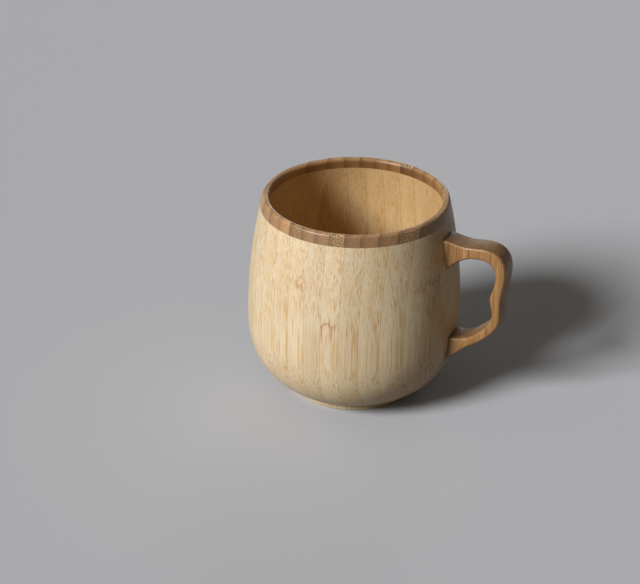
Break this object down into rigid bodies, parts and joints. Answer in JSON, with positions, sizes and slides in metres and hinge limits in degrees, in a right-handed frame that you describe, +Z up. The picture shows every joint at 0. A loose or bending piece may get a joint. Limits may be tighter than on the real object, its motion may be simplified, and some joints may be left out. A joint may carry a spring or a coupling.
{
  "type": "bamboo cup",
  "caption": "Drinking cup turned from a block of glued bamboo sticks, with a darker glued rim and a carved, glued-on handle.",
  "frame": {"origin": "centre of the flat foot, where the cup's turning axis meets the table", "axes": "+Z up along the turning axis, +X from the axis towards the handle"},
  "size_m": [0.1126, 0.09, 0.088],
  "materials": {
    "pale_bamboo": "thin clear satin lacquer",
    "steamed_bamboo": "thin clear satin lacquer",
    "steamed_bamboo_handle": "thin clear satin lacquer"
  },
  "bodies": {
    "root": {"body_layer_01": "pale_bamboo", "body_layer_02": "pale_bamboo", "body_layer_03": "pale_bamboo", "body_layer_04": "pale_bamboo", "body_layer_05": "pale_bamboo", "body_layer_06": "pale_bamboo", "body_layer_07": "pale_bamboo", "body_layer_08": "pale_bamboo", "body_layer_09": "pale_bamboo", "body_layer_10": "pale_bamboo", "body_layer_11": "pale_bamboo", "body_layer_12": "pale_bamboo", "body_layer_13": "pale_bamboo", "rim_strip_01": "steamed_bamboo", "rim_strip_02": "steamed_bamboo", "rim_strip_03": "steamed_bamboo", "rim_strip_04": "steamed_bamboo", "rim_strip_05": "steamed_bamboo", "rim_strip_06": "steamed_bamboo", "rim_strip_07": "steamed_bamboo", "rim_strip_08": "steamed_bamboo", "rim_strip_09": "steamed_bamboo", "rim_strip_10": "steamed_bamboo", "rim_strip_11": "steamed_bamboo", "rim_strip_12": "steamed_bamboo", "rim_strip_13": "steamed_bamboo", "rim_strip_14": "steamed_bamboo", "handle_layer_1": "steamed_bamboo_handle", "handle_layer_2": "steamed_bamboo_handle", "handle_layer_3": "steamed_bamboo_handle", "handle_layer_4": "steamed_bamboo_handle"}
  },
  "joints": []
}
